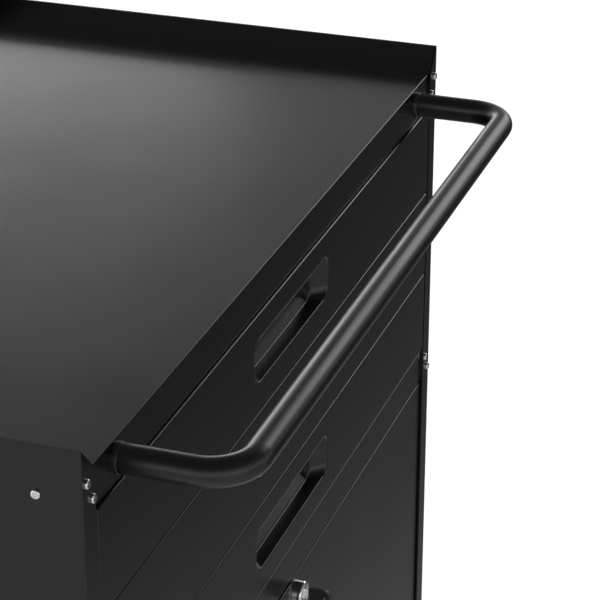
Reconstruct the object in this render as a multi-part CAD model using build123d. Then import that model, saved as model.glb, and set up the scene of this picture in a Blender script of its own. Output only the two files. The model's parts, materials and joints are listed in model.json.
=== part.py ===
"""Rolling tool chest: three drawers over a two-door cupboard, with a front push handle, on four casters.

All lengths are millimetres. While the pieces are drawn, x runs to the right, y runs back from the front
plane of the chest and z runs up from the floor. save() then moves every piece into the part's own frame,
whose origin is the middle of the bounding box on the floor.
"""
from build123d import *
import os
from math import cos, radians, sin

# ---- overall size ----
WIDTH = 850.0
DEPTH = 500.0
HEIGHT = 890.0
CASTER_HEIGHT = 128.0
SHEET = 1.0
HALF = WIDTH / 2
INNER = HALF - SHEET

# ---- side panels, tray and rails ----
FLANGE = 20.7            # width of the front flange folded from each side panel
FLANGE_THICK = 2.3       # the flange is folded double
LIP = 22.5               # how far the side panels stand above the tray
LIP_HEM = 13.0
RETURN = 20.0            # inward return flanges of panels and rails
TRAY_Z = HEIGHT - LIP
APRON_HEIGHT = 34.2
RAIL_TOP = 566.4
RAIL_HEIGHT = 34.0
RAIL_Y = FLANGE_THICK    # front plane of the apron, the cross rail and the doors
SHELF_Z = 549.0
BASE_RAIL_TOP = 158.3
BASE_SHEET = 1.2
OPENING = HALF - FLANGE  # half width between the two flanges
BACK_Y = DEPTH - SHEET

# ---- drawers ----
DRAWER_TOPS = (832.1, 743.55, 655.0)
DRAWER_HEIGHT = 86.5
DRAWER_HALF = OPENING - 2.0
FRONT_DEPTH = 16.0
EDGE_RADIUS = 1.2
BOX_HALF = 391.3
BOX_BACK = 460.0
BOX_BOTTOM = 10.0        # above the bottom edge of the drawer front
BOX_HEIGHT = 64.0
LINER = 2.0
DRAWER_TRAVEL = 400.0

# ---- pressed pull in each drawer front ----
PULL_WIDTH = 189.0
PULL_HEIGHT = 42.8
PULL_DROP = 41.0         # from the drawer's top edge down to the middle of the pull
PULL_DEPTH = 12.5
PULL_CORNER = 14.0
PULL_DRAFT = 15.0
PULL_RIM = 2.0           # rounding where the pull runs into the face
PULL_FLOOR = 3.0         # rounding between the pull's walls and its floor

# ---- ball slides ----
SLIDE_WALL = 1.2
SLIDE_START = 17.0
UPRIGHT_FACE = 404.0
UPRIGHT_STARTS = (8.0, 436.0)
UPRIGHT_TOP = 840.0
OUTER_HEIGHT = 45.0
MIDDLE_HEIGHT = 41.4
INNER_HEIGHT = 37.8
OUTER_LENGTH = 450.0
MIDDLE_LENGTH = 430.0
INNER_LENGTH = 443.0

# ---- doors ----
DOOR_BOTTOM = 160.5
DOOR_DEPTH = 18.0
DOOR_SPLIT = 1.0         # half of the gap between the doors
LEFT_DOOR_TOP = 529.1
RIGHT_DOOR_TOP = 530.0
LEFT_DOOR_PROUD = 0.6
PIVOT_X = DRAWER_HALF - 4.0
PIVOT_Y = RAIL_Y + 3.5
PIVOT_R = 2.0
RUNNING = 0.05           # radial clearance of every running fit
DOOR_PULL_Z = 345.0
DOOR_PULL_X = 45.0
DOOR_PULL_LENGTH = 150.0
DOOR_PULL_WIDTH = 36.0
CATCH_X = 95.0

# ---- lock and key ----
LOCK_X = 20.0
LOCK_Z = 506.7
LOCK_PROUD = 6.3
LOCK_RIM_R = 12.0
BARREL_R = 9.0
BARREL_END = 22.0
PLUG_R = 6.5
PLUG_END = 24.0
CAM_LENGTH = 32.0
CAM_THICK = 2.0
CAM_HALF = 6.5
CAM_SCREW_R = 2.0
KEYWAY = (2.4, 8.8)
BLADE = (2.0, 8.4)
BLADE_END = 14.0
BOW_START = -7.4
BOW_END = -28.4
BOW_HALF = 8.2
BOW_THICK = 5.0

# ---- push handle ----
TUBE_R = 11.4
TUBE_WALL = 1.5
HANDLE_Z = 851.2
HANDLE_X = 361.8
HANDLE_REACH = 89.1      # from the front plane to the axis of the bar
HANDLE_BEND = 33.5
FOOT_PLATE = 6.0
HANDLE_BOLT_R = 3.0

# ---- screws: M4 pan head ----
SCREW_HEAD_R = 3.65
SCREW_HEAD_H = 2.2
SCREW_SHANK_R = 1.9
SCREW_LENGTH = 6.0
# distance in from the side, and height: two screws on a slant at the top, the rail and the foot
FLANGE_SCREWS = ((7.1, 861.1), (15.7, 845.5), (15.0, 556.8), (7.1, 542.3), (15.0, 151.0), (7.1, 137.0))
SIDE_SCREWS = ((34.0, 851.1), (250.0, 851.1), (466.0, 851.1))    # distance back, and height
BACK_SCREW_X = 412.0
BACK_SCREW_Z = (180.0, 345.0, 510.0, 675.0, 835.0)

# ---- casters ----
WHEEL_R = 50.0
WHEEL_WIDTH = 30.0
TREAD = 9.0
CASTER_X = 370.0
FRONT_CASTER_Y = 62.0
REAR_CASTER_Y = 436.0
TRAIL = 34.0
PLATE = (64.0, 92.0, 2.5)
PLATE_BOLTS = (45.0, 72.0)
FORK_WALL = 2.5
FORK_HALF = 21.0
AXLE_R = 4.0
HUB_R = 9.0
KINGPIN_R = 6.0
RACE_R = 26.0
FORK_TOP = 112.0
PIN_HEAD_DROP = 6.5      # from the fork's top to the underside of the kingpin's head
BRAKE_REACH = 46.0
BRAKE_BACK = 8.0         # from the axle back to the brake's pivot
BRAKE_DROP = 6.5         # from the fork's top down to the brake's pivot
BRAKE_HALF = 14.0
BRAKE_PIN_R = 1.5

FRONT_REACH = HANDLE_REACH + TUBE_R
REAR_REACH = DEPTH + SCREW_HEAD_H
FRONT_Y = (FRONT_REACH - REAR_REACH) / 2


def block(x, y, z):
    """A box between two limits along each axis."""
    size = [high - low for low, high in (x, y, z)]
    middle = [(low + high) / 2 for low, high in (x, y, z)]
    return Pos(*middle) * Box(*size)


def rod(radius, start, end, axis, at=(0, 0)):
    """A cylinder along one axis, from start to end, at the two other coordinates."""
    cylinder = Cylinder(radius, end - start)
    middle = (start + end) / 2
    if axis == "x":
        return Pos(middle, at[0], at[1]) * Rot(0, 90, 0) * cylinder
    if axis == "y":
        return Pos(at[0], middle, at[1]) * Rot(90, 0, 0) * cylinder
    return Pos(at[0], at[1], middle) * cylinder


def hexagon(place, direction, half_flats, height):
    """A hexagon head or nut standing on a point, along a direction."""
    outline = RegularPolygon(half_flats, 6, major_radius=False)
    return extrude(Plane(place, z_dir=direction) * outline, amount=height)


def fuse(pieces):
    """One solid from pieces that touch or overlap."""
    first, *rest = pieces
    return first.fuse(*rest).clean() if rest else first


def mirrored(shape):
    return mirror(shape, about=Plane.YZ)


def near(value, target):
    return abs(value - target) < 0.01


def front_edges(shape, y):
    """The edges that lie in the plane at y."""
    edges = shape.edges()
    return [edge for edge in edges if near(edge.center().Y, y) and near(edge.bounding_box().size.Y, 0)]


def save(node, *shapes):
    """Write one node, moved into the part's own frame."""
    solids = [solid for shape in shapes for solid in shape.solids()]
    placed = [Pos(0, FRONT_Y, 0) * solid for solid in solids]
    export_step(placed[0] if len(placed) == 1 else Compound(children=placed), f"parts/{node}.step")


# ---------------------------------------------------------------- carcass

def side_panel():
    """The left side: sheet, hemmed lip, mitred front flange, rear flange and bottom flange."""
    sheet = block((-HALF, -INNER), (0, DEPTH - SHEET), (CASTER_HEIGHT, HEIGHT))
    flange = block((-HALF, -OPENING), (0, FLANGE_THICK), (CASTER_HEIGHT, HEIGHT))
    shell = fuse([sheet, flange])
    upright = shell.edges().filter_by(Axis.Z)
    corner = [edge for edge in upright if near(edge.center().X, -HALF) and near(edge.center().Y, 0)]
    shell = fillet(corner, 1.4)
    past = -HALF + FLANGE + 1
    mitre = Polyline((-HALF, HEIGHT), (past, HEIGHT), (past, TRAY_Z - 1.1), close=True)
    notch = extrude(Plane.XZ * make_face(mitre), amount=FLANGE_THICK + 2, both=True)
    corner_sheet = block((-HALF, -INNER), (0, FLANGE_THICK + 2), (TRAY_Z, HEIGHT))
    shell = shell - (notch - corner_sheet)
    hem = block((-INNER, -INNER + SHEET), (FLANGE_THICK, BACK_Y - 2), (HEIGHT - LIP_HEM, HEIGHT))
    rear = block((-INNER, -INNER + RETURN), (BACK_Y - SHEET, BACK_Y), (CASTER_HEIGHT + 3, TRAY_Z - 25))
    foot_z = (CASTER_HEIGHT + BASE_SHEET, CASTER_HEIGHT + 2 * BASE_SHEET)
    foot = block((-INNER, -INNER + RETURN), (RAIL_Y + BASE_SHEET, BACK_Y - SHEET), foot_z)
    panel = fuse([shell, hem, rear, foot])
    for x, z in FLANGE_SCREWS:
        panel = panel - rod(SCREW_SHANK_R, -1, FLANGE_THICK + 1, "y", (-HALF + x, z))
    for y, z in SIDE_SCREWS:
        panel = panel - rod(SCREW_SHANK_R, -HALF - 1, -INNER + 0.5, "x", (y, z))
    for z in BACK_SCREW_Z:
        panel = panel - rod(SCREW_SHANK_R, BACK_Y - 3, BACK_Y + 1, "y", (-BACK_SCREW_X, z))
    return panel


def back_panel():
    panel = block((-INNER, INNER), (BACK_Y, DEPTH), (CASTER_HEIGHT, HEIGHT))
    for x in (-BACK_SCREW_X, BACK_SCREW_X):
        for z in BACK_SCREW_Z:
            panel = panel - rod(SCREW_SHANK_R, BACK_Y - 1, DEPTH + 1, "y", (x, z))
    return panel


def top_tray():
    """Tray sheet with a bent apron in front, a lip at the back and a down-turned edge on each side."""
    front = RAIL_Y
    sheet = block((-INNER, INNER), (front, BACK_Y - 1), (TRAY_Z - SHEET, TRAY_Z))
    low = TRAY_Z - APRON_HEIGHT
    apron = block((-INNER, INNER), (front, front + SHEET), (low, TRAY_Z))
    hem = block((-UPRIGHT_FACE + 1, UPRIGHT_FACE - 1), (front, front + 10), (low, low + SHEET))
    lip = block((-INNER, INNER), (BACK_Y - 1 - SHEET, BACK_Y - 1), (TRAY_Z - SHEET, HEIGHT - 2))
    tray = fuse([sheet, apron, hem, lip])
    along = tray.edges().filter_by(Axis.X)
    bend = [edge for edge in along if near(edge.center().Y, front) and near(edge.center().Z, TRAY_Z)]
    tray = fillet(bend, SHEET * 0.95)
    skirt = block((-INNER, -INNER + SHEET), (front + SHEET, BACK_Y - 2), (TRAY_Z - RETURN, TRAY_Z - SHEET))
    tray = fuse([tray, skirt, mirrored(skirt)])
    for side in (-1, 1):
        for x, z in FLANGE_SCREWS[:2]:
            tray = tray - rod(SCREW_SHANK_R, front - 1, front + 2, "y", (side * (HALF - x), z))
        for y, z in SIDE_SCREWS:
            tray = tray - rod(SCREW_SHANK_R, side * HALF - 3, side * HALF + 3, "x", (y, z))
        tray = tray - rod(HANDLE_BOLT_R, front - 1, front + 2, "y", (side * HANDLE_X, HANDLE_Z))
    return tray


def cross_rail():
    """C-section rail between the drawers and the doors."""
    bottom = RAIL_TOP - RAIL_HEIGHT
    web = block((-INNER, INNER), (RAIL_Y, RAIL_Y + SHEET), (bottom, RAIL_TOP))
    reach = (RAIL_Y, RAIL_Y + 17.7)
    upper = block((-UPRIGHT_FACE + 1, UPRIGHT_FACE - 1), reach, (RAIL_TOP - SHEET, RAIL_TOP))
    lower = block((-UPRIGHT_FACE + 1, UPRIGHT_FACE - 1), reach, (bottom, bottom + SHEET))
    rail = fuse([web, upper, lower])
    long_edges = [e for e in front_edges(rail, RAIL_Y) if e.bounding_box().size.X > 700]
    rail = fillet(long_edges, 0.9)
    for side in (-1, 1):
        for x, z in FLANGE_SCREWS[2:4]:
            rail = rail - rod(SCREW_SHANK_R, RAIL_Y - 1, RAIL_Y + 2, "y", (side * (HALF - x), z))
    return rail


def divider_shelf():
    """Dust shelf that closes the drawer bay off from the cupboard."""
    sheet = block((-INNER, INNER), (RAIL_Y + SHEET, BACK_Y - SHEET), (SHELF_Z, SHELF_Z + SHEET))
    edge = block((-INNER, -INNER + SHEET), (RAIL_Y + 30, BACK_Y - 30), (SHELF_Z - RETURN, SHELF_Z))
    return fuse([sheet, edge, mirrored(edge)])


def base_panel():
    """Floor of the cupboard, bent up in front into the rail under the doors."""
    wall = BASE_SHEET
    sheet = block((-INNER, INNER), (RAIL_Y, BACK_Y), (CASTER_HEIGHT, CASTER_HEIGHT + wall))
    rail = block((-INNER, INNER), (RAIL_Y, RAIL_Y + wall), (CASTER_HEIGHT, BASE_RAIL_TOP))
    step = block((-OPENING, OPENING), (RAIL_Y, RAIL_Y + 12), (BASE_RAIL_TOP - wall, BASE_RAIL_TOP))
    base = fuse([sheet, rail, step])
    long_edges = [e for e in front_edges(base, RAIL_Y) if e.bounding_box().size.X > 700]
    base = fillet(long_edges, 0.9)
    for side in (-1, 1):
        for x, z in FLANGE_SCREWS[4:]:
            base = base - rod(SCREW_SHANK_R, RAIL_Y - 1, RAIL_Y + 2, "y", (side * (HALF - x), z))
    for x, y in caster_bolt_places():
        base = base - rod(HANDLE_BOLT_R, CASTER_HEIGHT - 1, CASTER_HEIGHT + wall + 1, "z", (x, y))
    return base


def uprights():
    """Four channels that carry the ball slides, one at each corner of the drawer bay."""
    wall = 1.5
    tall = (SHELF_Z + SHEET, UPRIGHT_TOP)
    posts = []
    for side in (-1, 1):
        for start in UPRIGHT_STARTS:
            web = block((UPRIGHT_FACE, UPRIGHT_FACE + wall), (start, start + 30), tall)
            front = block((UPRIGHT_FACE, INNER), (start, start + wall), tall)
            back = block((UPRIGHT_FACE, INNER), (start + 30 - wall, start + 30), tall)
            post = fuse([web, front, back])
            posts.append(post if side > 0 else mirrored(post))
    return posts


# ---------------------------------------------------------------- fasteners

def pan_head_screw():
    """Pan head cross-recess screw, head up along +Z, seated on z = 0."""
    head = Cylinder(SCREW_HEAD_R, SCREW_HEAD_H, align=(Align.CENTER, Align.CENTER, Align.MIN))
    head = fillet(head.edges().group_by(Axis.Z)[-1], 1.3)
    shank = Cylinder(SCREW_SHANK_R, SCREW_LENGTH, align=(Align.CENTER, Align.CENTER, Align.MAX))
    recess = Box(3.4, 0.7, 1.3) + Box(0.7, 3.4, 1.3)
    return (head + shank) - Pos(0, 0, SCREW_HEAD_H) * recess


def panel_screws():
    screw = pan_head_screw()
    placed = []
    for side in (-1, 1):
        for x, z in FLANGE_SCREWS:
            placed.append(Pos(side * (HALF - x), 0, z) * Rot(90, 0, 0) * Rot(0, 0, 20 + 5 * x) * screw)
        for y, z in SIDE_SCREWS:
            placed.append(Pos(side * HALF, y, z) * Rot(0, side * 90, 0) * Rot(0, 0, 30) * screw)
    for x in (-BACK_SCREW_X, BACK_SCREW_X):
        for z in BACK_SCREW_Z:
            placed.append(Pos(x, DEPTH, z) * Rot(-90, 0, 0) * Rot(0, 0, 15) * screw)
    return placed


# ---------------------------------------------------------------- push handle

def push_handle():
    """Bent tube with two legs square to the apron, closed by a welded nut plate at each foot."""
    start = RAIL_Y
    left = (-HANDLE_X, start, HANDLE_Z)
    left_corner = (-HANDLE_X, -HANDLE_REACH, HANDLE_Z)
    right_corner = (HANDLE_X, -HANDLE_REACH, HANDLE_Z)
    right = (HANDLE_X, start, HANDLE_Z)
    path = FilletPolyline(left, left_corner, right_corner, right, radius=HANDLE_BEND)
    ring = Circle(TUBE_R) - Circle(TUBE_R - TUBE_WALL)
    tube = sweep(Plane(origin=left, z_dir=(0, -1, 0)) * ring, path=path)
    feet = []
    for side in (-1, 1):
        foot = rod(TUBE_R - TUBE_WALL / 2, start - FOOT_PLATE, start, "y", (side * HANDLE_X, HANDLE_Z))
        feet.append(foot)
    handle = fuse([tube] + feet)
    for side in (-1, 1):
        at = (side * HANDLE_X, HANDLE_Z)
        handle = handle - rod(HANDLE_BOLT_R, start - FOOT_PLATE - 2, start + 1, "y", at)
    return handle


def handle_bolts():
    bolts = []
    for side in (-1, 1):
        at = (side * HANDLE_X, HANDLE_Z)
        behind = RAIL_Y + SHEET
        shank = rod(HANDLE_BOLT_R, RAIL_Y - 7, behind + 0.5, "y", at)
        washer = rod(7.0, behind, behind + 1.2, "y", at)
        head = hexagon((at[0], behind + 1.2, at[1]), (0, 1, 0), 5.0, 4.0)
        bolts.append(fuse([shank, washer, head]))
    return bolts


# ---------------------------------------------------------------- drawers

def pull_sketch(grow, height, width):
    return RectangleRounded(width + 2 * grow, height + 2 * grow, PULL_CORNER + grow)


def pressed_pull(panel, x, face, z, turn=0, width=PULL_WIDTH, height=PULL_HEIGHT):
    """Press a cup into a sheet whose front face lies at y = face, and round its rim."""
    front = Plane(origin=(x, face, z), x_dir=(cos(radians(turn)), 0, sin(radians(turn))), z_dir=(0, 1, 0))
    outer = extrude(front * pull_sketch(SHEET, height, width), amount=PULL_DEPTH + SHEET, taper=PULL_DRAFT)
    inner = extrude(front * pull_sketch(0, height, width), amount=PULL_DEPTH, taper=PULL_DRAFT)
    floor = [edge for edge in inner.edges() if near(edge.center().Y, face + PULL_DEPTH)]
    panel = (panel + outer) - fillet(floor, PULL_FLOOR)
    reach = width / 2 + 1
    rim = [edge for edge in front_edges(panel, face) if (edge.center() - front.origin).length < reach]
    return fillet(rim, PULL_RIM)


def drawer_front(top):
    """Pan with rounded edges, open at the back, with the pull pressed into its face."""
    bottom = top - DRAWER_HEIGHT
    pan = block((-DRAWER_HALF, DRAWER_HALF), (0, FRONT_DEPTH), (bottom, top))
    pan = fillet(pan.edges().filter_by(Axis.Y), 1.5)
    pan = fillet(front_edges(pan, 0), EDGE_RADIUS)
    inside = DRAWER_HALF - SHEET
    pan = pan - block((-inside, inside), (SHEET, FRONT_DEPTH + 1), (bottom + SHEET, top - SHEET))
    return pressed_pull(pan, 0, 0, top - PULL_DROP)


def drawer_box(top):
    """Open box behind the front, with hems along its top edges."""
    low = top - DRAWER_HEIGHT + BOX_BOTTOM
    high = low + BOX_HEIGHT
    y = (FRONT_DEPTH, BOX_BACK)
    shell = block((-BOX_HALF, BOX_HALF), y, (low, high))
    x = BOX_HALF - SHEET
    inside = block((-x, x), (y[0] + SHEET, y[1] - SHEET), (low + SHEET, high + 1))
    box = shell - inside
    for side in (-1, 1):
        hem_x = sorted((side * (BOX_HALF - SHEET), side * (BOX_HALF - 2 * SHEET)))
        box = box + block(hem_x, (y[0], y[1]), (high - 8, high))
    return box + block((-BOX_HALF, BOX_HALF), (y[1] - 2 * SHEET, y[1] - SHEET), (high - 8, high))


def drawer_liner(top):
    low = top - DRAWER_HEIGHT + BOX_BOTTOM + SHEET
    inset = SHEET + 0.5
    x = BOX_HALF - inset
    return block((-x, x), (FRONT_DEPTH + inset, BOX_BACK - inset), (low, low + LINER))


def channel(web, lips, height, length, z):
    """C-section of a slide, its back at x = web and its lips reaching to x = lips."""
    low, high = sorted((web, lips))
    back = (low, low + SLIDE_WALL) if web < lips else (high - SLIDE_WALL, high)
    y = (SLIDE_START, SLIDE_START + length)
    body = block(back, y, (z - height / 2, z + height / 2))
    upper = block((low, high), y, (z + height / 2 - SLIDE_WALL, z + height / 2))
    lower = block((low, high), y, (z - height / 2, z - height / 2 + SLIDE_WALL))
    return fuse([body, upper, lower])


def slide_pair(top, web, lips, height, length):
    z = top - DRAWER_HEIGHT + BOX_BOTTOM + BOX_HEIGHT / 2
    right = channel(web, lips, height, length, z)
    return [right, mirrored(right)]


def outer_members(top):
    return slide_pair(top, UPRIGHT_FACE, UPRIGHT_FACE - 9.5, OUTER_HEIGHT, OUTER_LENGTH)


def middle_members(top):
    return slide_pair(top, UPRIGHT_FACE - 3.2, UPRIGHT_FACE - 10, MIDDLE_HEIGHT, MIDDLE_LENGTH)


def inner_members(top):
    return slide_pair(top, BOX_HALF, BOX_HALF + 6.7, INNER_HEIGHT, INNER_LENGTH)


# ---------------------------------------------------------------- doors

def door_pan(near, far, face, top, pull_x):
    """Sheet pan with rounded edges, bored top and bottom for its pivots; near and far are its x limits."""
    x = tuple(sorted((near, far)))
    pan = block(x, (face, RAIL_Y + DOOR_DEPTH), (DOOR_BOTTOM, top))
    pan = fillet(pan.edges().filter_by(Axis.Y), 1.5)
    pan = fillet(front_edges(pan, face), EDGE_RADIUS)
    inside_y = (face + SHEET, RAIL_Y + DOOR_DEPTH + 1)
    pan = pan - block((x[0] + SHEET, x[1] - SHEET), inside_y, (DOOR_BOTTOM + SHEET, top - SHEET))
    pan = pressed_pull(pan, pull_x, face, DOOR_PULL_Z, 90, DOOR_PULL_LENGTH, DOOR_PULL_WIDTH)
    side = 1 if far > 0 else -1
    return pan - rod(PIVOT_R + RUNNING, DOOR_BOTTOM - 1, top + 1, "z", (side * PIVOT_X, PIVOT_Y))


def door_inner(near, far, top):
    """Flat sheet that closes the back of a door."""
    x = tuple(sorted((near, far)))
    back = RAIL_Y + DOOR_DEPTH
    inset = SHEET + 0.1
    return block((x[0] + inset, x[1] - inset), (back - SHEET, back), (DOOR_BOTTOM + inset, top - inset))


def pivot_pins():
    pins = []
    for side, top in ((-1, LEFT_DOOR_TOP), (1, RIGHT_DOOR_TOP)):
        at = (side * PIVOT_X, PIVOT_Y)
        pins.append(rod(PIVOT_R, BASE_RAIL_TOP, BASE_RAIL_TOP + 7, "z", at))
        pins.append(rod(PIVOT_R, top - 5, RAIL_TOP - RAIL_HEIGHT, "z", at))
    return pins


def door_catches():
    """Magnet blocks on hangers under the divider shelf, one behind each door."""
    catches = []
    for x in (-CATCH_X, CATCH_X):
        start = RAIL_Y + DOOR_DEPTH + 0.5
        magnet = block((x - 20, x + 20), (start, start + 10), (508, 520))
        hanger = block((x - 14, x + 14), (start + 10, start + 11.5), (508, SHELF_Z))
        foot = block((x - 14, x + 14), (start + 10, start + 30), (SHELF_Z - 1.5, SHELF_Z))
        catches.append(fuse([magnet, hanger, foot]))
    return catches


# ---------------------------------------------------------------- lock and key

def lock_housing():
    """Rim in front of the door, barrel through it, bored for the plug."""
    front = RAIL_Y - LOCK_PROUD
    at = (LOCK_X, LOCK_Z)
    rim = rod(LOCK_RIM_R, front, RAIL_Y, "y", at)
    rim = fillet(front_edges(rim, front), 2.2)
    body = rim + rod(BARREL_R, RAIL_Y - 0.5, BARREL_END, "y", at)
    return body - rod(PLUG_R + RUNNING, front - 1, BARREL_END + 1, "y", at)


def lock_nut():
    nut = hexagon((LOCK_X, RAIL_Y + SHEET, LOCK_Z), (0, 1, 0), 12.0, 4.0)
    return nut - rod(BARREL_R, RAIL_Y, RAIL_Y + 10, "y", (LOCK_X, LOCK_Z))


def lock_plug():
    front = RAIL_Y - LOCK_PROUD + 0.3
    at = (LOCK_X, LOCK_Z)
    plug = rod(PLUG_R, front, PLUG_END, "y", at)
    keyway = block(
        (LOCK_X - KEYWAY[0] / 2, LOCK_X + KEYWAY[0] / 2),
        (front - 1, BLADE_END + 0.5),
        (LOCK_Z - KEYWAY[1] / 2, LOCK_Z + KEYWAY[1] / 2),
    )
    return plug - keyway - rod(CAM_SCREW_R, PLUG_END - 8, PLUG_END + 1, "y", at)


def lock_cam():
    """Flat cam: a round end on the plug and an arm that points to the right when unlocked."""
    end = (PLUG_END, PLUG_END + CAM_THICK)
    round_end = rod(CAM_HALF + 1.5, end[0], end[1], "y", (LOCK_X, LOCK_Z))
    arm = block((LOCK_X, LOCK_X + CAM_LENGTH), end, (LOCK_Z - CAM_HALF, LOCK_Z + CAM_HALF))
    arm = fillet(arm.edges().filter_by(Axis.Y).group_by(Axis.X)[-1], 3)
    return fuse([round_end, arm]) - rod(CAM_SCREW_R, end[0] - 1, end[1] + 1, "y", (LOCK_X, LOCK_Z))


def cam_screw():
    behind = PLUG_END + CAM_THICK
    at = (LOCK_X, LOCK_Z)
    head = rod(4.0, behind, behind + 2.4, "y", at)
    return head + rod(CAM_SCREW_R, PLUG_END - 7, behind + 0.5, "y", at)


def key_blade():
    y = (BOW_START - 6, BLADE_END)
    x = (LOCK_X - BLADE[0] / 2, LOCK_X + BLADE[0] / 2)
    blade = block(x, y, (LOCK_Z - BLADE[1] / 2, LOCK_Z + BLADE[1] / 2))
    for index, depth in enumerate((1.6, 0.8, 2.0, 1.2)):
        start = 1.0 + 3.2 * index
        notch_z = (LOCK_Z + BLADE[1] / 2 - depth, LOCK_Z + 9)
        blade = blade - block((x[0] - 1, x[1] + 1), (start, start + 1.8), notch_z)
    return blade


def key_bow():
    """Moulded grip with a round end and a hole for a ring, hollow where the blade is held."""
    length = BOW_START - BOW_END
    middle = (BOW_START + BOW_END) / 2
    grip = Pos(LOCK_X, middle, LOCK_Z) * Box(BOW_THICK, length, 2 * BOW_HALF)
    tip = grip.edges().filter_by(Axis.X).group_by(Axis.Y)[0]
    grip = fillet(tip, 7.8)
    neck = grip.edges().filter_by(Axis.X).group_by(Axis.Y)[-1]
    grip = fillet(neck, 2.0)
    faces = grip.faces().filter_by(Axis.X)
    rims = [edge for face in faces for edge in face.edges()]
    grip = fillet(rims, 1.2)
    grip = grip - rod(2.0, LOCK_X - 5, LOCK_X + 5, "x", (BOW_END + 5.6, LOCK_Z))
    socket = block(
        (LOCK_X - BLADE[0] / 2, LOCK_X + BLADE[0] / 2),
        (BOW_START - 6, BOW_START + 1),
        (LOCK_Z - BLADE[1] / 2, LOCK_Z + BLADE[1] / 2),
    )
    return grip - socket


# ---------------------------------------------------------------- casters

def caster_places():
    """Kingpin places: front left, front right, rear left, rear right."""
    return [(side * CASTER_X, y) for y in (FRONT_CASTER_Y, REAR_CASTER_Y) for side in (-1, 1)]


def caster_bolt_places():
    return [
        (x + dx * PLATE_BOLTS[0] / 2, y + dy * PLATE_BOLTS[1] / 2)
        for x, y in caster_places() for dx in (-1, 1) for dy in (-1, 1)
    ]


def caster_plate(x, y):
    plate = Pos(x, y, CASTER_HEIGHT - PLATE[2] / 2) * Box(*PLATE)
    plate = fillet(plate.edges().filter_by(Axis.Z), 6)
    for dx in (-1, 1):
        for dy in (-1, 1):
            at = (x + dx * PLATE_BOLTS[0] / 2, y + dy * PLATE_BOLTS[1] / 2)
            plate = plate - rod(HANDLE_BOLT_R, CASTER_HEIGHT - 5, CASTER_HEIGHT + 1, "z", at)
    return plate


def caster_bolts():
    bolts = []
    under = CASTER_HEIGHT - PLATE[2]
    for x, y in caster_bolt_places():
        nut = hexagon((x, y, CASTER_HEIGHT + BASE_SHEET), (0, 0, 1), 5.0, 4.5)
        shank = rod(HANDLE_BOLT_R, under - 0.5, CASTER_HEIGHT + 8, "z", (x, y))
        head = rod(6.0, under - 3, under, "z", (x, y))
        bolts.append(fuse([nut, shank, head]))
    return bolts


def kingpin(x, y):
    """Upper race and the pin that the fork turns on."""
    under = CASTER_HEIGHT - PLATE[2]
    race = rod(RACE_R, FORK_TOP + 4.0, under, "z", (x, y))
    race = fillet(race.edges().group_by(Axis.Z)[0], 2.5)
    pin_end = FORK_TOP - PIN_HEAD_DROP
    pin = rod(KINGPIN_R, pin_end, under - 1, "z", (x, y))
    head = rod(10.0, pin_end, FORK_TOP - 3.0, "z", (x, y))
    return fuse([race, pin, head])


def fork(x, y, wheel_y, swivels):
    """Pressed fork: a crown and two tapering cheeks that carry the axle."""
    axle_z = WHEEL_R
    top = FORK_TOP if swivels else CASTER_HEIGHT - PLATE[2]
    crown_rear = max(y + 24, wheel_y + 14)
    crown = block((x - FORK_HALF, x + FORK_HALF), (y - 26, crown_rear), (top - FORK_WALL, top))
    side_view = Polyline(
        (y - 26, top), (crown_rear, top), (wheel_y + 14, axle_z),
        (wheel_y, axle_z - 14), (wheel_y - 14, axle_z), close=True,
    )
    profile = make_face(side_view)
    cheek = extrude(Plane.YZ * profile, amount=FORK_WALL)
    round_end = rod(14.0, 0, FORK_WALL, "x", (wheel_y, axle_z))
    cheek = fuse([cheek, round_end])
    pieces = [crown]
    for start in (x - FORK_HALF, x + FORK_HALF - FORK_WALL):
        pieces.append(Pos(start, 0, 0) * cheek)
    body = fuse(pieces)
    if swivels:
        seat = rod(RACE_R - 2, top, top + 3.4, "z", (x, y))
        body = fuse([body, seat])
        body = body - rod(KINGPIN_R + RUNNING, top - 10, top + 10, "z", (x, y))
    return body - rod(AXLE_R, x - 60, x + 60, "x", (wheel_y, axle_z))


def axle(x, wheel_y):
    """Bolt through the fork with its head on one side and a nut on the other."""
    shank = rod(AXLE_R, x - FORK_HALF - 1, x + FORK_HALF + 6, "x", (wheel_y, WHEEL_R))
    head = hexagon((x - FORK_HALF - 4.5, wheel_y, WHEEL_R), (1, 0, 0), 6.5, 4.5)
    nut = hexagon((x + FORK_HALF, wheel_y, WHEEL_R), (1, 0, 0), 6.5, 5.0)
    return fuse([shank, head, nut])


def revolved_about_axle(points, x, wheel_y):
    """Turn an outline of (across, radius) points about the wheel axis."""
    face = make_face(Polyline(*points, close=True))
    turned = revolve(face, axis=Axis.X)
    return Pos(x, wheel_y, WHEEL_R) * turned


def tyre(x, wheel_y):
    half = WHEEL_WIDTH / 2
    inner = WHEEL_R - TREAD
    outline = (
        (-half, inner), (half, inner), (half, WHEEL_R - 3),
        (half - 4, WHEEL_R), (4 - half, WHEEL_R), (-half, WHEEL_R - 3),
    )
    return revolved_about_axle(outline, x, wheel_y)


def wheel_hub(x, wheel_y):
    """Moulded centre: rim, thin web and a bored hub."""
    half = WHEEL_WIDTH / 2
    rim = WHEEL_R - TREAD
    hub_half = FORK_HALF - FORK_WALL - 0.6
    bore = AXLE_R + RUNNING
    outline = (
        (-hub_half, bore), (hub_half, bore), (hub_half, HUB_R), (4, HUB_R + 4),
        (4, rim - 6), (half, rim - 4), (half, rim),
        (-half, rim), (-half, rim - 4), (-4, rim - 6),
        (-4, HUB_R + 4), (-hub_half, HUB_R),
    )
    return revolved_about_axle(outline, x, wheel_y)


def brake_pivot(wheel_y):
    return (wheel_y + BRAKE_BACK, FORK_TOP - BRAKE_DROP)


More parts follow.
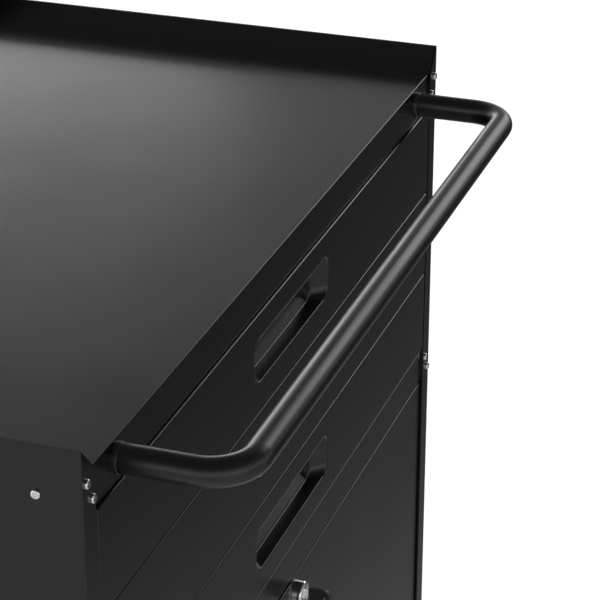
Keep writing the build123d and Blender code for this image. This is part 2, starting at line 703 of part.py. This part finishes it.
def brake_pedal(x, wheel_y):
    """Foot pedal behind the fork crown; it turns down until its shoe is against the tread."""
    pivot_y, pivot_z = brake_pivot(wheel_y)
    inner_half = FORK_HALF - FORK_WALL - 0.6
    barrel = rod(3.5, x - inner_half, x + inner_half, "x", (pivot_y, pivot_z))
    end_y = pivot_y + BRAKE_REACH
    arm = block((x - BRAKE_HALF, x + BRAKE_HALF), (pivot_y, end_y), (pivot_z - 1.5, pivot_z + 1.5))
    arm = fillet(arm.edges().filter_by(Axis.Z).group_by(Axis.Y)[-1], 6)
    tread = block((x - BRAKE_HALF, x + BRAKE_HALF), (end_y - 16, end_y - 4), (pivot_z + 1.5, pivot_z + 3))
    pedal = fuse([barrel, arm, tread])
    return pedal - rod(BRAKE_PIN_R + RUNNING, x - 40, x + 40, "x", (pivot_y, pivot_z))


def brake_pin(x, wheel_y):
    return rod(BRAKE_PIN_R, x - FORK_HALF, x + FORK_HALF, "x", brake_pivot(wheel_y))


def swivel_fork(x, y):
    wheel_y = y + TRAIL
    body = fork(x, y, wheel_y, True)
    return body + brake_pin(x, wheel_y)


# ---------------------------------------------------------------- write every node

def main():
    os.makedirs("parts", exist_ok=True)
    left = side_panel()
    save("side_panel_left", left)
    save("side_panel_right", mirrored(left))
    save("back_panel", back_panel())
    save("top_tray", top_tray())
    save("cross_rail", cross_rail())
    save("divider_shelf", divider_shelf())
    save("base_panel", base_panel())
    save("drawer_uprights", *uprights())
    save("panel_screws", *panel_screws())
    save("push_handle", push_handle())
    save("handle_bolts", *handle_bolts())

    outer = [member for top in DRAWER_TOPS for member in outer_members(top)]
    save("slide_outer_members", *outer)
    for number, top in enumerate(DRAWER_TOPS, start=1):
        save(f"drawer_{number}_front", drawer_front(top))
        save(f"drawer_{number}_box", drawer_box(top))
        save(f"drawer_{number}_liner", drawer_liner(top))
        save(f"drawer_{number}_inner_slides", *inner_members(top))
        save(f"drawer_{number}_middle_slides", *middle_members(top))

    left_edges = (-DOOR_SPLIT, -DRAWER_HALF)
    right_edges = (DOOR_SPLIT, DRAWER_HALF)
    lock_hole = rod(BARREL_R, RAIL_Y - 3, RAIL_Y + 5, "y", (LOCK_X, LOCK_Z))
    barrel_room = rod(BARREL_R + 1, RAIL_Y + 5, RAIL_Y + 30, "y", (LOCK_X, LOCK_Z))
    left_face = RAIL_Y - LEFT_DOOR_PROUD
    save("door_left_panel", door_pan(*left_edges, left_face, LEFT_DOOR_TOP, -DOOR_PULL_X))
    save("door_left_inner", door_inner(*left_edges, LEFT_DOOR_TOP))
    save("door_right_panel", door_pan(*right_edges, RAIL_Y, RIGHT_DOOR_TOP, DOOR_PULL_X) - lock_hole)
    save("door_right_inner", door_inner(*right_edges, RIGHT_DOOR_TOP) - barrel_room)
    save("door_pivot_pins", *pivot_pins())
    save("door_catches", *door_catches())

    save("lock_housing", lock_housing())
    save("lock_nut", lock_nut())
    save("lock_plug", lock_plug())
    save("lock_cam", lock_cam())
    save("cam_screw", cam_screw())
    save("key_blade", key_blade())
    save("key_bow", key_bow())

    places = caster_places()
    save("caster_plates", *[caster_plate(x, y) for x, y in places])
    save("caster_bolts", *caster_bolts())
    save("swivel_kingpins", *[kingpin(x, y) for x, y in places[:2]])
    save("fixed_forks", *[fork(x, y, y, False) for x, y in places[2:]])
    save("fixed_axles", *[axle(x, y) for x, y in places[2:]])
    corners = ("front_left", "front_right", "rear_left", "rear_right")
    for corner, (x, y) in zip(corners, places):
        swivels = corner.startswith("front")
        wheel_y = y + TRAIL if swivels else y
        save(f"tyre_{corner}", tyre(x, wheel_y))
        save(f"wheel_hub_{corner}", wheel_hub(x, wheel_y))
        if swivels:
            save(f"swivel_fork_{corner}", swivel_fork(x, y))
            save(f"swivel_axle_{corner}", axle(x, wheel_y))
            save(f"brake_pedal_{corner}", brake_pedal(x, wheel_y))


main()
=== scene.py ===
"""Rolling tool chest: camera, light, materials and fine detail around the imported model.

Everything is in metres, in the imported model's frame: +X to the chest's right, +Y to its back, +Z up,
origin on the floor under the middle of its box.
"""
import json
import math

import bmesh
import bpy
from mathutils import Matrix, Vector


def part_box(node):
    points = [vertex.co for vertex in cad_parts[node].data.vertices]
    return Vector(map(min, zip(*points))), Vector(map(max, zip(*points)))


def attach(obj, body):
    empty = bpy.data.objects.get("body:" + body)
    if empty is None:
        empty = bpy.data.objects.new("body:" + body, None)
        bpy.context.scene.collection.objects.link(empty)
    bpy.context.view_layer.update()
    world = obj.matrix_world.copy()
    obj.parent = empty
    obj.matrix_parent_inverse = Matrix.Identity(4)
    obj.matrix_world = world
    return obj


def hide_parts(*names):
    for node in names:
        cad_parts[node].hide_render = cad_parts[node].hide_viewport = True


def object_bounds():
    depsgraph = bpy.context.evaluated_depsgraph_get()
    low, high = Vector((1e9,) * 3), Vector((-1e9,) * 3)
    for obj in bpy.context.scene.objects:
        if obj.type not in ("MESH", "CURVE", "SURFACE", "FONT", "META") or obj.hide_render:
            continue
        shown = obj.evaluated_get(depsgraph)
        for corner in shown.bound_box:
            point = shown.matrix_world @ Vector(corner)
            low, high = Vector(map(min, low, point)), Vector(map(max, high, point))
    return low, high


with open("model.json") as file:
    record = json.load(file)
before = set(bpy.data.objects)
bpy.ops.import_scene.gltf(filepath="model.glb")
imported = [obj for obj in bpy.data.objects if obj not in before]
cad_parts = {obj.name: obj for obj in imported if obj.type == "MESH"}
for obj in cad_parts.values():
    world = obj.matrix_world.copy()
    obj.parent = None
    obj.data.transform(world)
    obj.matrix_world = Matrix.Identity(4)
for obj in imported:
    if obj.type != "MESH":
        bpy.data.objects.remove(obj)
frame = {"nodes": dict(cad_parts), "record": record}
cad_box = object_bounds()

MM = 0.001


# ---------------------------------------------------------------- camera

CAMERA_OFFSET = (-1.19036, -0.56592, 0.73956)    # from the chest's front left top corner
CAMERA_AIM = (0.8517, 0.2953, -0.4329)
CAMERA_LENS = 136.85


def make_camera():
    data = bpy.data.cameras.new("camera")
    data.lens = CAMERA_LENS
    data.sensor_width = 36.0
    camera = bpy.data.objects.new("camera", data)
    low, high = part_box("side_panel_left")
    camera.location = Vector((low.x, low.y, high.z)) + Vector(CAMERA_OFFSET)
    camera.rotation_euler = Vector(CAMERA_AIM).to_track_quat("-Z", "Y").to_euler()
    bpy.context.scene.collection.objects.link(camera)
    bpy.context.scene.camera = camera


# ---------------------------------------------------------------- shader helpers

def add_node(tree, kind, inputs=None, **settings):
    """A node with its settings and unlinked input values; an input given as a socket is linked."""
    node = tree.nodes.new(kind)
    for key, value in settings.items():
        setattr(node, key, value)
    for key, value in (inputs or {}).items():
        if isinstance(value, bpy.types.NodeSocket):
            tree.links.new(value, node.inputs[key])
        else:
            node.inputs[key].default_value = value
    return node


def grey(level, tint=0.0):
    """A near-neutral colour; a positive tint is cooler."""
    return (level * (1 - tint), level, level * (1 + tint), 1.0)


class Finish:
    """A Principled material whose patterns are in object space, so they move with their piece."""

    def __init__(self, name, **plain):
        self.material = bpy.data.materials.new(name)
        self.material.use_nodes = True
        self.tree = self.material.node_tree
        self.shader = self.tree.nodes["Principled BSDF"]
        for key, value in plain.items():
            self.shader.inputs[key.replace("_", " ")].default_value = value
        self.place = add_node(self.tree, "ShaderNodeTexCoord").outputs["Object"]

    def noise(self, scale, detail=2.0, roughness=0.5, stretch=None):
        vector = self.place
        if stretch:
            mapping = add_node(self.tree, "ShaderNodeMapping", {"Vector": vector, "Scale": stretch})
            vector = mapping.outputs["Vector"]
        inputs = {"Vector": vector, "Scale": scale, "Detail": detail, "Roughness": roughness}
        return add_node(self.tree, "ShaderNodeTexNoise", inputs).outputs["Fac"]

    def spread(self, value, low, high, from_low=0.3, from_high=0.7):
        inputs = {
            "Value": value, "From Min": from_low, "From Max": from_high,
            "To Min": low, "To Max": high,
        }
        return add_node(self.tree, "ShaderNodeMapRange", inputs).outputs["Result"]

    def colour(self, value, first, second):
        mix = add_node(self.tree, "ShaderNodeMix", data_type="RGBA")
        self.tree.links.new(value, mix.inputs["Factor"])
        mix.inputs["A"].default_value = first
        mix.inputs["B"].default_value = second
        self.tree.links.new(mix.outputs["Result"], self.shader.inputs["Base Color"])

    def roughness(self, value):
        self.tree.links.new(value, self.shader.inputs["Roughness"])

    def bump(self, value, distance, strength=1.0):
        """Stack one more layer of relief on the layers already there."""
        inputs = {"Height": value, "Distance": distance, "Strength": strength}
        below = self.shader.inputs["Normal"].links
        if below:
            inputs["Normal"] = below[0].from_socket
        bump = add_node(self.tree, "ShaderNodeBump", inputs)
        self.tree.links.new(bump.outputs["Normal"], self.shader.inputs["Normal"])


COAT_CLOUDS = 7.0             # pattern scales, in repeats per metre
COAT_RIPPLE = 190.0
PLATE_CLOUDS = 60.0
PLATE_LINES = 900.0
PLATE_STRETCH = (1.0, 0.06, 1.0)
MOULD_CLOUDS = 25.0


def powder_coat(name, level, smooth, rough, grain=1100.0, relief=0.012 * MM):
    """Sprayed powder coat: fine orange peel, slightly uneven gloss."""
    finish = Finish(name, IOR=1.5)
    cloudy = finish.noise(COAT_CLOUDS, 3.0)
    fine = finish.noise(grain, 2.0)
    finish.colour(cloudy, grey(level * 0.88), grey(level * 1.12))
    finish.roughness(finish.spread(cloudy, smooth, rough))
    finish.bump(fine, relief)
    finish.bump(finish.noise(COAT_RIPPLE, 2.0), relief * 2)
    return finish.material


def plated(name, level, smooth, rough, tint=0.01, relief=0.004 * MM):
    """Plated metal with faint polishing lines and uneven brightness."""
    finish = Finish(name, Metallic=1.0)
    cloudy = finish.noise(PLATE_CLOUDS, 4.0)
    lines = finish.noise(PLATE_LINES, 3.0, 0.6, PLATE_STRETCH)
    finish.colour(cloudy, grey(level * 0.86, tint), grey(level * 1.08, tint))
    finish.roughness(finish.spread(lines, smooth, rough))
    finish.bump(lines, relief)
    return finish.material


def moulded(name, first, second, smooth, rough, grain=1400.0, relief=0.02 * MM):
    """Moulded plastic or rubber with a fine spark-eroded grain."""
    finish = Finish(name, IOR=1.47)
    fine = finish.noise(grain, 3.0)
    cloudy = finish.noise(MOULD_CLOUDS, 3.0)
    finish.colour(cloudy, first, second)
    finish.roughness(finish.spread(fine, smooth, rough))
    finish.bump(fine, relief)
    return finish.material


def make_materials():
    """One finish for each material slot of the record."""
    pedal_shades = (0.36, 0.022, 0.018, 1), (0.44, 0.03, 0.024, 1)
    return {
        "body_paint": powder_coat("body_powder_coat", 0.0018, 0.21, 0.25),
        "handle_paint": powder_coat("handle_powder_coat", 0.003, 0.30, 0.35, 1500.0, 0.01 * MM),
        "drawer_paint": powder_coat("inner_powder_coat", 0.010, 0.38, 0.46),
        "liner_foam": moulded("liner_foam", grey(0.022), grey(0.032), 0.75, 0.9, 900.0, 0.08 * MM),
        "zinc_steel": plated("zinc_plate", 0.62, 0.22, 0.36),
        "chrome": plated("chrome_plate", 0.78, 0.06, 0.14, 0.005, 0.001 * MM),
        "key_plastic": moulded("key_plastic", grey(0.008), grey(0.012), 0.28, 0.38),
        "catch_plastic": moulded("catch_plastic", grey(0.02), grey(0.03), 0.45, 0.6),
        "pedal_plastic": moulded("pedal_plastic", *pedal_shades, 0.36, 0.5),
        "tyre_rubber": moulded("tyre_rubber", grey(0.018), grey(0.026), 0.62, 0.8, 700.0, 0.05 * MM),
        "wheel_plastic": moulded("wheel_plastic", grey(0.03), grey(0.045), 0.42, 0.55),
    }


def dress_cad_nodes(materials):
    """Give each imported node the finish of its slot."""
    for row in frame["record"]["subparts"]:
        node = frame["nodes"][row["node"]]
        for slot in node.material_slots:
            slot.material = materials[row["material_slot"]]


# ---------------------------------------------------------------- mesh helpers

def add_piece(name, bm, body, slot, materials):
    """Make a smooth-shaded piece that rides on a CAD body, with the finish of a record's slot."""
    mesh = bpy.data.meshes.new(name)
    bmesh.ops.recalc_face_normals(bm, faces=bm.faces)
    bm.to_mesh(mesh)
    bm.free()
    mesh.polygons.foreach_set("use_smooth", [True] * len(mesh.polygons))
    mesh.materials.append(materials[slot])
    piece = bpy.data.objects.new(name, mesh)
    bpy.context.scene.collection.objects.link(piece)
    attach(piece, body)
    return piece


def weigh_normals(piece):
    """Keep flat faces flat beside small roundings."""
    modifier = piece.modifiers.new("weighted_normal", "WEIGHTED_NORMAL")
    modifier.mode = "FACE_AREA"
    modifier.weight = 90


def loft(bm, rings, closed=False, cap_start=False, cap_end=False):
    """Quads between rings of equal length; closed also joins the last ring to the first."""
    rows = [[bm.verts.new(point) for point in ring] for ring in rings]
    pairs = list(zip(rows, rows[1:]))
    if closed:
        pairs.append((rows[-1], rows[0]))
    for outer, inner in pairs:
        for i in range(len(outer)):
            j = (i + 1) % len(outer)
            bm.faces.new((outer[i], outer[j], inner[j], inner[i]))
    if cap_start:
        bm.faces.new(rows[0])
    if cap_end:
        bm.faces.new(rows[-1])


def lathe(bm, outline, centre, axis, steps):
    """Turn a closed outline of (along, radius) points about the x or the y axis through centre."""
    rings = []
    for along, radius in outline:
        ring = []
        for i in range(steps):
            angle = 2 * math.pi * i / steps
            across, up = radius * math.cos(angle), radius * math.sin(angle)
            offset = (along, across, up) if axis == "x" else (across, along, up)
            ring.append(Vector(centre) + Vector(offset))
        rings.append(ring)
    loft(bm, rings, closed=True)


# ---------------------------------------------------------------- drawer fronts

CORNER_STEPS = 10
RIM_STEPS = 9
PANEL_EDGE = 1.3 * MM         # rounding along the outer edges of a drawer front
PANEL_CORNER = 2.2 * MM
PANEL_SHEET = 0.9 * MM
FLAT_MARGIN = 0.5 * MM        # narrow flat strip beside each rounding
RAIL_REVEAL = 2.0 * MM        # the lowest front stops short, to show the rail's rounded edge
PULL_DROP = 41.0 * MM
PULL_HALF_WIDTH = 94.5 * MM
PULL_HALF_HEIGHT = 20.8 * MM
PULL_CORNER = 14.0 * MM
PULL_DEPTH = 12.5 * MM
PULL_TIGHTEST = 1.0 * MM      # smallest corner inside the pull
# each wall of the pull: rounding at the rim, slope off the straight, rounding at the floor
PULL_TOP = (7.0 * MM, math.radians(15), 2.5 * MM)
PULL_END = (3.2 * MM, math.radians(50), 6.0 * MM)
PULL_BOTTOM = (0.9 * MM, math.radians(8), 1.5 * MM)


def pull_profile(rim, slope, floor_rounding):
    """(inset, depth) down one wall of the pull."""
    steepest = math.pi / 2 - slope
    points = [(-FLAT_MARGIN, 0.0)]
    for i in range(RIM_STEPS + 1):
        turn = steepest * i / RIM_STEPS
        points.append((rim * math.sin(turn), rim * (1 - math.cos(turn))))
    inset, depth = points[-1]
    floor_drop = floor_rounding * (1 - math.cos(steepest))
    wall = PULL_DEPTH - floor_drop - depth
    inset, depth = inset + wall * math.tan(slope), depth + wall
    for i in range(RIM_STEPS + 1):
        turn = steepest * (1 - i / RIM_STEPS)
        slide = floor_rounding * (math.sin(steepest) - math.sin(turn))
        points.append((inset + slide, depth + floor_rounding * (math.cos(turn) - math.cos(steepest))))
    slide = floor_rounding * math.sin(steepest)
    points.append((inset + slide + FLAT_MARGIN, PULL_DEPTH))
    return points


def edge_profile(depth):
    """(inset, depth) round the outer edge of the panel, from its open back to its face."""
    points = [(0.0, depth), (0.0, PANEL_EDGE + FLAT_MARGIN)]
    for i in range(RIM_STEPS + 1):
        turn = math.pi / 2 * i / RIM_STEPS
        points.append((PANEL_EDGE * (1 - math.cos(turn)), PANEL_EDGE * (1 - math.sin(turn))))
    points.append((PANEL_EDGE + FLAT_MARGIN, 0.0))
    return points


def rounded_rings(centre, half_x, half_z, corner, ends, top, bottom, face_y):
    """Rings that step in from a rounded rectangle, each wall by its own (inset, depth) profile."""
    rings = [[] for _ in ends]
    for quadrant, (side_x, side_z) in enumerate(((1, 1), (-1, 1), (-1, -1), (1, -1))):
        for i in range(CORNER_STEPS + 1):
            angle = math.pi / 2 * (quadrant + i / CORNER_STEPS)
            across, up = math.cos(angle), math.sin(angle)
            for ring, end, level in zip(rings, ends, top if side_z > 0 else bottom):
                radius = max(corner - level[0], PULL_TIGHTEST)
                x = centre[0] + side_x * (half_x - end[0] - radius) + radius * across
                z = centre[1] + side_z * (half_z - level[0] - radius) + radius * up
                depth = end[1] + (level[1] - end[1]) * abs(up)
                ring.append(Vector((x, face_y + depth, z)))
    return rings


def make_drawer_fronts(materials):
    """Sheet fronts with pressed pulls: a wide bend along the top, a tight one below, sloping ends."""
    for number in (1, 2, 3):
        node = f"drawer_{number}_front"
        low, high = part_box(node)
        bottom = low.z + (RAIL_REVEAL if number == 3 else 0)
        middle = Vector(((low.x + high.x) / 2, low.y, (bottom + high.z) / 2))
        half_x, half_z = (high.x - low.x) / 2, (high.z - bottom) / 2
        outside = edge_profile(high.y - low.y)
        bm = bmesh.new()
        edge = rounded_rings(
            (middle.x, middle.z), half_x, half_z, PANEL_CORNER, outside, outside, outside, low.y,
        )
        pull = rounded_rings(
            (middle.x, high.z - PULL_DROP), PULL_HALF_WIDTH, PULL_HALF_HEIGHT, PULL_CORNER,
            pull_profile(*PULL_END), pull_profile(*PULL_TOP), pull_profile(*PULL_BOTTOM), low.y,
        )
        loft(bm, edge + pull, cap_end=True)
        name = f"drawer_front_skin_{number}"
        front = add_piece(name, bm, f"drawer_{number}", "body_paint", materials)
        skin = front.modifiers.new("sheet", "SOLIDIFY")
        skin.thickness = PANEL_SHEET
        skin.offset = -1.0
        weigh_normals(front)
        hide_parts(node)


# ---------------------------------------------------------------- liners, feet and wheels

RIB_PITCH = 6.0 * MM
RIB_SHAPE = (                 # (part of the pitch, part of the height) over one rib
    (0.0, 0.55), (0.22, 0.55), (0.30, 0.85), (0.40, 1.0), (0.60, 1.0), (0.70, 0.85), (0.78, 0.55),
)


def make_liners(materials):
    """Ribbed rubber mats; each rib has rounded shoulders."""
    for number in (1, 2, 3):
        node = f"drawer_{number}_liner"
        low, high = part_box(node)
        count = int((high.y - low.y) / RIB_PITCH)
        pitch = (high.y - low.y) / count
        top = [
            (low.y + (rib + part) * pitch, height)
            for rib in range(count) for part, height in RIB_SHAPE
        ]
        top.append((high.y, RIB_SHAPE[0][1]))
        section = [(y, low.z + height * (high.z - low.z)) for y, height in top]
        section += [(high.y, low.z), (low.y, low.z)]
        bm = bmesh.new()
        ends = [[Vector((x, y, z)) for y, z in section] for x in (low.x, high.x)]
        loft(bm, ends, cap_start=True, cap_end=True)
        mat = add_piece(f"drawer_mat_{number}", bm, f"drawer_{number}", "liner_foam", materials)
        mat.data.set_sharp_from_angle(angle=math.radians(50))
        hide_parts(node)


COLLAR_LENGTH = 4.2 * MM
COLLAR_PROUD = 0.5 * MM
COLLAR_ROUND = 0.5 * MM


def make_handle_collars(materials):
    """Pressed collar round each end of the handle, where it meets the apron."""
    low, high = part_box("push_handle")
    tube = (high.z - low.z) / 2
    outer = tube + COLLAR_PROUD
    outline = [
        (0.0, tube - COLLAR_ROUND), (0.0, outer),
        (-COLLAR_LENGTH + COLLAR_ROUND, outer),
        (-COLLAR_LENGTH + COLLAR_ROUND * 0.3, outer - COLLAR_ROUND * 0.3),
        (-COLLAR_LENGTH, outer - COLLAR_ROUND), (-COLLAR_LENGTH, tube - COLLAR_ROUND),
    ]
    for name, x in (("left", low.x + tube), ("right", high.x - tube)):
        bm = bmesh.new()
        lathe(bm, outline, (x, high.y, (low.z + high.z) / 2), "y", 64)
        collar = add_piece(f"handle_collar_{name}", bm, "chest", "handle_paint", materials)
        collar.data.set_sharp_from_angle(angle=math.radians(50))


TYRE_SHOULDER = 4.0 * MM
TYRE_GROOVE = 0.8 * MM
TYRE_INSIDE = 0.82            # of the wheel's radius
GROOVE_PLACES = (-5.0 * MM, 5.0 * MM)
RIB_COUNT = 8
RIB_THICK = 2.4 * MM
RIB_START = 0.2               # of the wheel's radius
RIB_RIM_GAP = 4.5 * MM        # from the tyre's inside
RIB_FOOT = 3.0 * MM
RIB_PROUD = 1.5 * MM          # past the wheel's face at the hub, and short of it at the rim


def tyre_outline(half, inner, outer):
    """Closed (along, radius) outline with rounded shoulders and two fine grooves round the tread."""
    def shoulder(side):
        points = []
        for i in range(7):
            turn = math.pi / 2 * i / 6
            along = half - TYRE_SHOULDER + TYRE_SHOULDER * math.cos(turn)
            points.append((side * along, outer - TYRE_SHOULDER + TYRE_SHOULDER * math.sin(turn)))
        return points
    tread = []
    for place in reversed(GROOVE_PLACES):
        for step, drop in ((1.0, 0.0), (0.5, 1.0), (-0.5, 1.0), (-1.0, 0.0)):
            tread.append((place + step * TYRE_GROOVE, outer - drop * TYRE_GROOVE))
    return [(-half, inner), (half, inner)] + shoulder(1) + tread + shoulder(-1)[::-1]


def make_wheels(materials):
    """Rounded tyres, and ribs on both faces of each wheel."""
    for corner in ("front_left", "front_right", "rear_left", "rear_right"):
        node = f"tyre_{corner}"
        low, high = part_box(node)
        centre = (low + high) / 2
        half, outer = (high.x - low.x) / 2, (high.z - low.z) / 2
        inner = outer * TYRE_INSIDE
        bm = bmesh.new()
        lathe(bm, tyre_outline(half, inner, outer), centre, "x", 96)
        tyre = add_piece(f"wheel_tyre_{corner}", bm, f"wheel_{corner}", "tyre_rubber", materials)
        tyre.data.set_sharp_from_angle(angle=math.radians(40))
        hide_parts(node)

        bm = bmesh.new()
        hub, rim = outer * RIB_START, inner - RIB_RIM_GAP
        for side in (-1, 1):
            for i in range(RIB_COUNT):
                turn = Matrix.Rotation(2 * math.pi * i / RIB_COUNT, 4, "X")
                section = []
                for reach, height in ((hub, half + RIB_PROUD), (rim, half - RIB_PROUD)):
                    corners = ((RIB_FOOT, -1), (height, -0.6), (height, 0.6), (RIB_FOOT, 1))
                    for along, across in corners:
                        point = Vector((side * along, across * RIB_THICK / 2, reach))
                        section.append(turn @ point + centre)
                loft(bm, [section[:4], section[4:]], cap_start=True, cap_end=True)
        ribs = add_piece(f"wheel_ribs_{corner}", bm, f"wheel_{corner}", "wheel_plastic", materials)
        ribs.data.set_sharp_from_angle(angle=math.radians(30))


# ---------------------------------------------------------------- studio

FLOOR_HALF = 3000.0
WORLD_STRENGTH = 1.0
# (height, level): height 0 is straight down, 0.5 the horizon and 1 straight up
SKY = (
    (0.0, 0.5), (0.175, 0.24), (0.23, 0.12), (0.25, 0.055), (0.285, 0.027), (0.48, 0.015),
    (0.5, 0.8), (0.6, 0.6), (0.68, 0.42), (0.74, 0.22), (0.82, 0.1), (1.0, 0.06),
)
# (level, then (axis, first, last) bands that fade it in)
LEFT_WALL = (0.53, ("X", 0.1, -0.7), ("Z", 0.6, 0.3))
BACK_WALL = (0.6, ("Y", 0.48, 0.66), ("Z", 0.28, 0.1))
FRONT_WALL = (0.35, ("Y", -0.58, -0.8), ("Z", 0.3, 0.1))
RIGHT_FLOOR = (0.12, ("X", 0.2, 0.6), ("Y", -0.31, -0.22), ("Z", -0.2, -0.5))
FRONT_CURTAIN = (0.8, ("X", 0.2, 0.6), ("Y", -0.05, -0.25), ("Z", 0.02, 0.1))
# azimuth and elevation in degrees, distance, width, height, power
SOFTBOXES = {
    "back_sheen": (132, 12, 8.0, 6.2, 2.4, 136),
    "front_right": (71, 22, 9.0, 4.4, 3.4, 135),
}
OVERHEAD_STRENGTH = 2.8
OVERHEAD_SOFTNESS = math.radians(60)
OVERHEAD_TILT = (math.radians(12), math.radians(8), 0)


def make_floor():
    """Pale floor; reflections look past it into the dim lower half of the world."""
    mesh = bpy.data.meshes.new("floor")
    signs = ((-1, -1), (1, -1), (1, 1), (-1, 1))
    corners = [(x * FLOOR_HALF, y * FLOOR_HALF, 0) for x, y in signs]
    mesh.from_pydata(corners, [], [(0, 1, 2, 3)])
    floor = bpy.data.objects.new("floor", mesh)
    finish = Finish("floor_paint", Roughness=0.9)
    finish.colour(finish.noise(3.0), grey(0.86), grey(0.9))
    mesh.materials.append(finish.material)
    floor.visible_glossy = False
    bpy.context.scene.collection.objects.link(floor)


def softbox(name, azimuth, elevation, distance, width, height, power):
    """A soft panel aimed at the chest's middle; azimuth 0 is in front and 90 at its right."""
    light = bpy.data.lights.new(name, "AREA")
    light.shape = "RECTANGLE"
    light.size, light.size_y = width, height
    light.energy = power
    a, e = math.radians(azimuth), math.radians(elevation)
    outward = Vector((math.sin(a) * math.cos(e), -math.cos(a) * math.cos(e), math.sin(e)))
    lamp = bpy.data.objects.new(name, light)
    centre = (cad_box[0] + cad_box[1]) / 2
    lamp.location = centre + outward * distance
    lamp.rotation_euler = outward.to_track_quat("Z", "Y").to_euler()
    lamp.visible_camera = False
    bpy.context.scene.collection.objects.link(lamp)


def times(tree, first, second):
    """First times second, which is a socket or a number."""
    node = add_node(tree, "ShaderNodeMath", operation="MULTIPLY")
    tree.links.new(first, node.inputs[0])
    if isinstance(second, float):
        node.inputs[1].default_value = second
    else:
        tree.links.new(second, node.inputs[1])
    return node.outputs["Value"]


def patch(tree, axes, level, *bands):
    """Part of the sky, at its level where every band has reached its last value."""
    value = None
    for axis, first, last in bands:
        inputs = {"Value": axes[axis], "From Min": first, "From Max": last}
        band = add_node(tree, "ShaderNodeMapRange", inputs).outputs["Result"]
        value = times(tree, band, value) if value else band
    return times(tree, value, level)


def make_world():
    """A pale sky that darkens with height over a dim ground, with pale walls round it."""
    world = bpy.data.worlds.new("studio")
    world.use_nodes = True
    tree = world.node_tree
    direction = add_node(tree, "ShaderNodeTexCoord").outputs["Generated"]
    axes = add_node(tree, "ShaderNodeSeparateXYZ", {"Vector": direction}).outputs
    rise = {"Value": axes["Z"], "From Min": -1.0, "From Max": 1.0}
    height = add_node(tree, "ShaderNodeMapRange", rise).outputs["Result"]
    ramp = add_node(tree, "ShaderNodeValToRGB", {"Fac": height})
    points = ramp.color_ramp.elements
    while len(points) < len(SKY):
        points.new(0.5)
    for point, (place, level) in zip(points, SKY):
        point.position = place
        point.color = grey(level)

    total = ramp.outputs["Color"]
    effects = (
        ("SUBTRACT", times(tree, patch(tree, axes, *FRONT_CURTAIN), total)),
        ("ADD", patch(tree, axes, *LEFT_WALL)),
        ("ADD", patch(tree, axes, *RIGHT_FLOOR)),
        ("ADD", patch(tree, axes, *BACK_WALL)),
        ("ADD", patch(tree, axes, *FRONT_WALL)),
    )
    for effect, light in effects:
        inputs = {"Factor": 1.0, "A": total, "B": light}
        mix = add_node(tree, "ShaderNodeMix", inputs, data_type="RGBA", blend_type=effect)
        total = mix.outputs["Result"]
    background = tree.nodes["Background"]
    tree.links.new(total, background.inputs["Color"])
    background.inputs["Strength"].default_value = WORLD_STRENGTH
    bpy.context.scene.world = world


def make_lights():
    """Two softboxes that the paint reflects, and an even overhead light that it doesn't."""
    for name, layout in SOFTBOXES.items():
        softbox(name, *layout)
    overhead = bpy.data.lights.new("overhead", "SUN")
    overhead.energy = OVERHEAD_STRENGTH
    overhead.angle = OVERHEAD_SOFTNESS
    lamp = bpy.data.objects.new("overhead", overhead)
    lamp.rotation_euler = OVERHEAD_TILT
    lamp.visible_glossy = False
    bpy.context.scene.collection.objects.link(lamp)
    bpy.context.scene.view_settings.view_transform = "Standard"


# ---------------------------------------------------------------- build the scene

def main():
    make_camera()
    materials = make_materials()
    dress_cad_nodes(materials)
    make_drawer_fronts(materials)
    make_liners(materials)
    make_handle_collars(materials)
    make_wheels(materials)
    make_floor()
    make_world()
    make_lights()


main()
